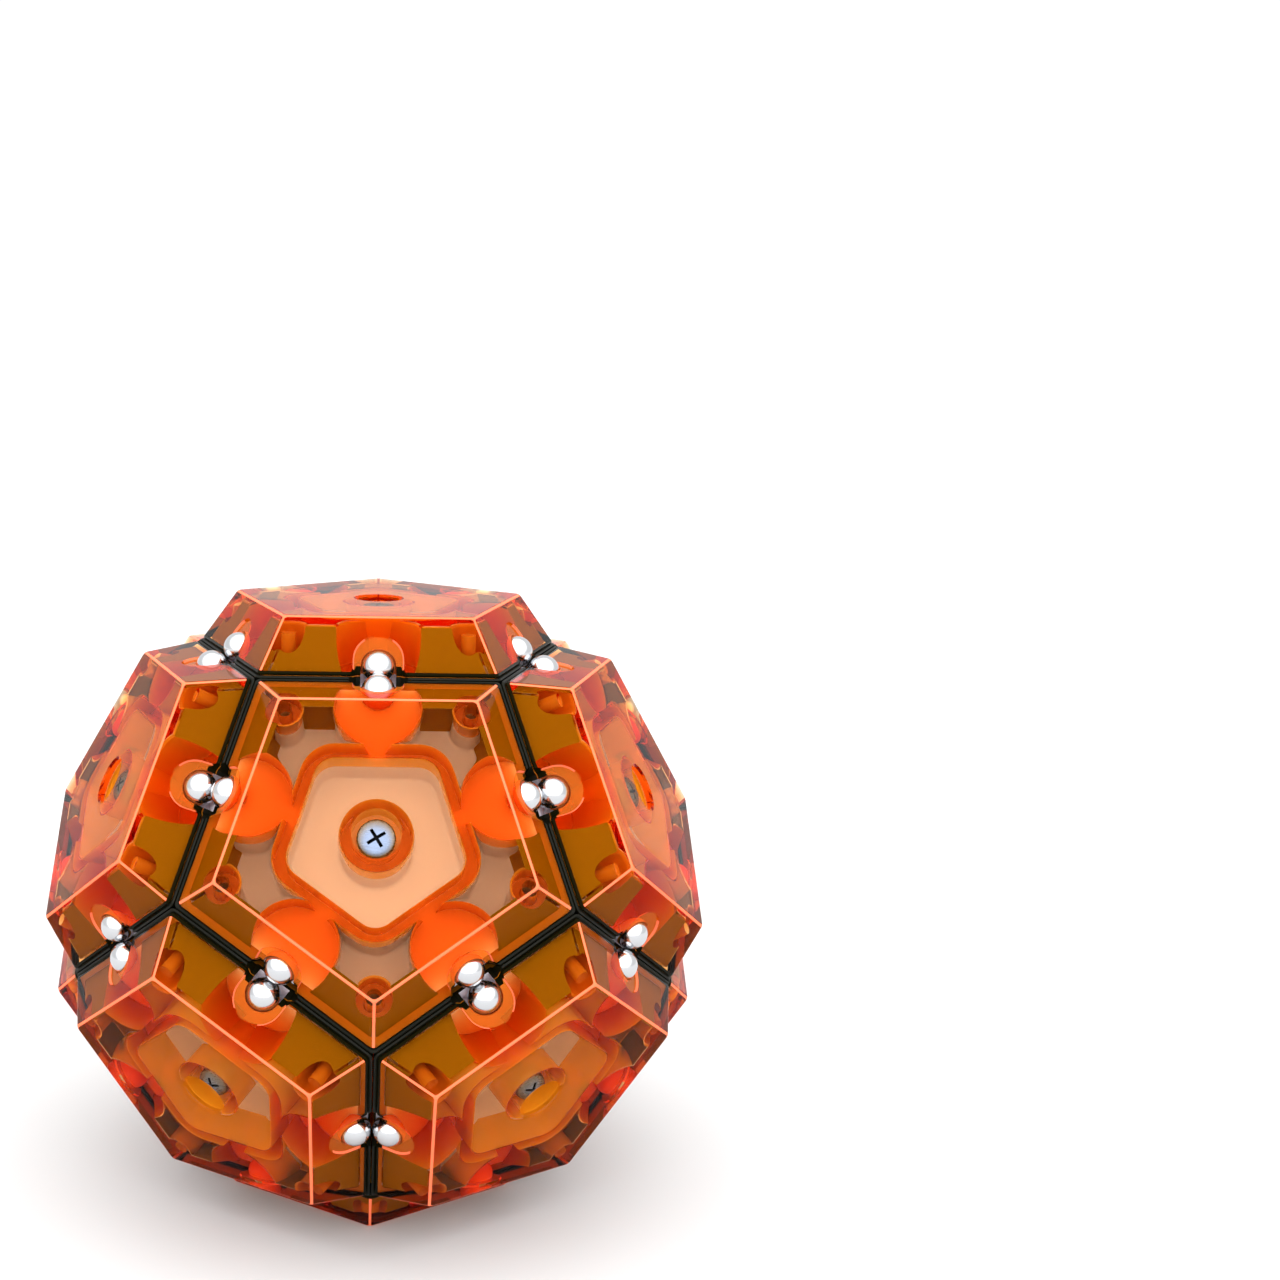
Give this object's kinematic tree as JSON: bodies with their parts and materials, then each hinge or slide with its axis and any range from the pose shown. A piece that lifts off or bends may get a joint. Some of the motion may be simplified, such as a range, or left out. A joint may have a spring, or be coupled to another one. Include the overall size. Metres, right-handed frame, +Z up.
{
  "type": "magnetic dodecahedron puzzle ball",
  "caption": "See-through orange puzzle ball of pentagonal modules on the faces of a dodecahedron, joined by nickel-plated magnet balls at the sides, each module of two screwed covers.",
  "frame": {"origin": "centre of the pentagonal face that the ball rests on", "axes": "+Z up through the top face; -Y to the front, at the module whose screw faces the viewer; +X to the right"},
  "size_m": [0.1024, 0.1078, 0.0966],
  "materials": {
    "outer_cover": "gloss",
    "inner_cover": "gloss",
    "magnet": "polished",
    "screw": "satin"
  },
  "bodies": {
    "module_top": {"outer_cover_top": "outer_cover", "inner_cover_top": "inner_cover", "screw_top": "screw"},
    "module_front": {"outer_cover_front": "outer_cover", "inner_cover_front": "inner_cover", "screw_front": "screw"},
    "module_right": {"outer_cover_right": "outer_cover", "inner_cover_right": "inner_cover", "screw_right": "screw"},
    "module_back_right": {"outer_cover_back_right": "outer_cover", "inner_cover_back_right": "inner_cover", "screw_back_right": "screw"},
    "module_back_left": {"outer_cover_back_left": "outer_cover", "inner_cover_back_left": "inner_cover", "screw_back_left": "screw"},
    "module_left": {"outer_cover_left": "outer_cover", "inner_cover_left": "inner_cover", "screw_left": "screw"},
    "module_lower_right": {"outer_cover_lower_right": "outer_cover", "inner_cover_lower_right": "inner_cover", "screw_lower_right": "screw"},
    "module_lower_far_right": {"outer_cover_lower_far_right": "outer_cover", "inner_cover_lower_far_right": "inner_cover", "screw_lower_far_right": "screw"},
    "module_lower_back": {"outer_cover_lower_back": "outer_cover", "inner_cover_lower_back": "inner_cover", "screw_lower_back": "screw"},
    "module_lower_far_left": {"outer_cover_lower_far_left": "outer_cover", "inner_cover_lower_far_left": "inner_cover", "screw_lower_far_left": "screw"},
    "module_lower_left": {"outer_cover_lower_left": "outer_cover", "inner_cover_lower_left": "inner_cover", "screw_lower_left": "screw"},
    "module_bottom": {"outer_cover_bottom": "outer_cover", "inner_cover_bottom": "inner_cover", "screw_bottom": "screw"},
    "ball_top_at_front": {"ball_top_at_front": "magnet"},
    "ball_front_at_top": {"ball_front_at_top": "magnet"},
    "ball_top_at_right": {"ball_top_at_right": "magnet"},
    "ball_right_at_top": {"ball_right_at_top": "magnet"},
    "ball_top_at_left": {"ball_top_at_left": "magnet"},
    "ball_left_at_top": {"ball_left_at_top": "magnet"},
    "ball_front_at_right": {"ball_front_at_right": "magnet"},
    "ball_right_at_front": {"ball_right_at_front": "magnet"},
    "ball_front_at_left": {"ball_front_at_left": "magnet"},
    "ball_left_at_front": {"ball_left_at_front": "magnet"},
    "ball_front_at_lower_right": {"ball_front_at_lower_right": "magnet"},
    "ball_lower_right_at_front": {"ball_lower_right_at_front": "magnet"},
    "ball_front_at_lower_left": {"ball_front_at_lower_left": "magnet"},
    "ball_lower_left_at_front": {"ball_lower_left_at_front": "magnet"},
    "ball_right_at_lower_right": {"ball_right_at_lower_right": "magnet"},
    "ball_lower_right_at_right": {"ball_lower_right_at_right": "magnet"},
    "ball_left_at_lower_left": {"ball_left_at_lower_left": "magnet"},
    "ball_lower_left_at_left": {"ball_lower_left_at_left": "magnet"},
    "ball_lower_right_at_lower_left": {"ball_lower_right_at_lower_left": "magnet"},
    "ball_lower_left_at_lower_right": {"ball_lower_left_at_lower_right": "magnet"},
    "ball_bottom_at_lower_right": {"ball_bottom_at_lower_right": "magnet"},
    "ball_lower_right_at_bottom": {"ball_lower_right_at_bottom": "magnet"},
    "ball_bottom_at_lower_left": {"ball_bottom_at_lower_left": "magnet"},
    "ball_lower_left_at_bottom": {"ball_lower_left_at_bottom": "magnet"}
  },
  "joints": [
    {"name": "pull_top", "type": "slide", "parent": "module_bottom", "child": "module_top", "axis": [0, 0, 1], "range_m": [0, 0.025]},
    {"name": "pull_front", "type": "slide", "parent": "module_bottom", "child": "module_front", "axis": [0, -0.8944, 0.4472], "range_m": [0, 0.025]},
    {"name": "pull_right", "type": "slide", "parent": "module_bottom", "child": "module_right", "axis": [0.8507, -0.2764, 0.4472], "range_m": [0, 0.025]},
    {"name": "pull_back_right", "type": "slide", "parent": "module_bottom", "child": "module_back_right", "axis": [0.5257, 0.7236, 0.4472], "range_m": [0, 0.025]},
    {"name": "pull_back_left", "type": "slide", "parent": "module_bottom", "child": "module_back_left", "axis": [-0.5257, 0.7236, 0.4472], "range_m": [0, 0.025]},
    {"name": "pull_left", "type": "slide", "parent": "module_bottom", "child": "module_left", "axis": [-0.8507, -0.2764, 0.4472], "range_m": [0, 0.025]},
    {"name": "pull_lower_right", "type": "slide", "parent": "module_bottom", "child": "module_lower_right", "axis": [0.5878, -0.809, 0], "range_m": [0, 0.025]},
    {"name": "pull_lower_far_right", "type": "slide", "parent": "module_bottom", "child": "module_lower_far_right", "axis": [0.9511, 0.309, 0], "range_m": [0, 0.025]},
    {"name": "pull_lower_back", "type": "slide", "parent": "module_bottom", "child": "module_lower_back", "axis": [0, 1, 0], "range_m": [0, 0.025]},
    {"name": "pull_lower_far_left", "type": "slide", "parent": "module_bottom", "child": "module_lower_far_left", "axis": [-0.9511, 0.309, 0], "range_m": [0, 0.025]},
    {"name": "pull_lower_left", "type": "slide", "parent": "module_bottom", "child": "module_lower_left", "axis": [-0.5878, -0.809, 0], "range_m": [0, 0.025]},
    {"name": "spin_top_at_front", "type": "hinge", "parent": "module_top", "child": "ball_top_at_front", "pos_m": [0, -0.02246, 0.08947], "axis": [0, 0, 1], "continuous": true},
    {"name": "spin_front_at_top", "type": "hinge", "parent": "module_front", "child": "ball_front_at_top", "pos_m": [0, -0.0268, 0.08679], "axis": [0, -0.8944, 0.4472], "continuous": true},
    {"name": "spin_top_at_right", "type": "hinge", "parent": "module_top", "child": "ball_top_at_right", "pos_m": [0.02136, -0.00694, 0.08947], "axis": [0, 0, 1], "continuous": true},
    {"name": "spin_right_at_top", "type": "hinge", "parent": "module_right", "child": "ball_right_at_top", "pos_m": [0.02548, -0.00828, 0.08679], "axis": [0.8507, -0.2764, 0.4472], "continuous": true},
    {"name": "spin_top_at_left", "type": "hinge", "parent": "module_top", "child": "ball_top_at_left", "pos_m": [-0.02136, -0.00694, 0.08947], "axis": [0, 0, 1], "continuous": true},
    {"name": "spin_left_at_top", "type": "hinge", "parent": "module_left", "child": "ball_left_at_top", "pos_m": [-0.02548, -0.00828, 0.08679], "axis": [-0.8507, -0.2764, 0.4472], "continuous": true},
    {"name": "spin_front_at_right", "type": "hinge", "parent": "module_front", "child": "ball_front_at_right", "pos_m": [0.02136, -0.03373, 0.07291], "axis": [0, -0.8944, 0.4472], "continuous": true},
    {"name": "spin_right_at_front", "type": "hinge", "parent": "module_right", "child": "ball_right_at_front", "pos_m": [0.02548, -0.03074, 0.07291], "axis": [0.8507, -0.2764, 0.4472], "continuous": true},
    {"name": "spin_front_at_left", "type": "hinge", "parent": "module_front", "child": "ball_front_at_left", "pos_m": [-0.02136, -0.03373, 0.07291], "axis": [0, -0.8944, 0.4472], "continuous": true},
    {"name": "spin_left_at_front", "type": "hinge", "parent": "module_left", "child": "ball_left_at_front", "pos_m": [-0.02548, -0.03074, 0.07291], "axis": [-0.8507, -0.2764, 0.4472], "continuous": true},
    {"name": "spin_front_at_lower_right", "type": "hinge", "parent": "module_front", "child": "ball_front_at_lower_right", "pos_m": [0.0132, -0.04496, 0.05046], "axis": [0, -0.8944, 0.4472], "continuous": true},
    {"name": "spin_lower_right_at_front", "type": "hinge", "parent": "module_lower_right", "child": "ball_lower_right_at_front", "pos_m": [0.01575, -0.04413, 0.04612], "axis": [0.5257, -0.7236, -0.4472], "continuous": true},
    {"name": "spin_front_at_lower_left", "type": "hinge", "parent": "module_front", "child": "ball_front_at_lower_left", "pos_m": [-0.0132, -0.04496, 0.05046], "axis": [0, -0.8944, 0.4472], "continuous": true},
    {"name": "spin_lower_left_at_front", "type": "hinge", "parent": "module_lower_left", "child": "ball_lower_left_at_front", "pos_m": [-0.01575, -0.04413, 0.04612], "axis": [-0.5257, -0.7236, -0.4472], "continuous": true},
    {"name": "spin_right_at_lower_right", "type": "hinge", "parent": "module_right", "child": "ball_right_at_lower_right", "pos_m": [0.03868, -0.02645, 0.05046], "axis": [0.8507, -0.2764, 0.4472], "continuous": true},
    {"name": "spin_lower_right_at_right", "type": "hinge", "parent": "module_lower_right", "child": "ball_lower_right_at_right", "pos_m": [0.03711, -0.02862, 0.04612], "axis": [0.5257, -0.7236, -0.4472], "continuous": true},
    {"name": "spin_left_at_lower_left", "type": "hinge", "parent": "module_left", "child": "ball_left_at_lower_left", "pos_m": [-0.03868, -0.02645, 0.05046], "axis": [-0.8507, -0.2764, 0.4472], "continuous": true},
    {"name": "spin_lower_left_at_left", "type": "hinge", "parent": "module_lower_left", "child": "ball_lower_left_at_left", "pos_m": [-0.03711, -0.02862, 0.04612], "axis": [-0.5257, -0.7236, -0.4472], "continuous": true},
    {"name": "spin_lower_right_at_lower_left", "type": "hinge", "parent": "module_lower_right", "child": "ball_lower_right_at_lower_left", "pos_m": [0.00255, -0.03985, 0.02366], "axis": [0.5257, -0.7236, -0.4472], "continuous": true},
    {"name": "spin_lower_left_at_lower_right", "type": "hinge", "parent": "module_lower_left", "child": "ball_lower_left_at_lower_right", "pos_m": [-0.00255, -0.03985, 0.02366], "axis": [-0.5257, -0.7236, -0.4472], "continuous": true},
    {"name": "spin_bottom_at_lower_right", "type": "hinge", "parent": "module_bottom", "child": "ball_bottom_at_lower_right", "pos_m": [0.0132, -0.01817, 0.0071], "axis": [0, 0, -1], "continuous": true},
    {"name": "spin_lower_right_at_bottom", "type": "hinge", "parent": "module_lower_right", "child": "ball_lower_right_at_bottom", "pos_m": [0.01575, -0.02168, 0.00978], "axis": [0.5257, -0.7236, -0.4472], "continuous": true},
    {"name": "spin_bottom_at_lower_left", "type": "hinge", "parent": "module_bottom", "child": "ball_bottom_at_lower_left", "pos_m": [-0.0132, -0.01817, 0.0071], "axis": [0, 0, -1], "continuous": true},
    {"name": "spin_lower_left_at_bottom", "type": "hinge", "parent": "module_lower_left", "child": "ball_lower_left_at_bottom", "pos_m": [-0.01575, -0.02168, 0.00978], "axis": [-0.5257, -0.7236, -0.4472], "continuous": true}
  ]
}
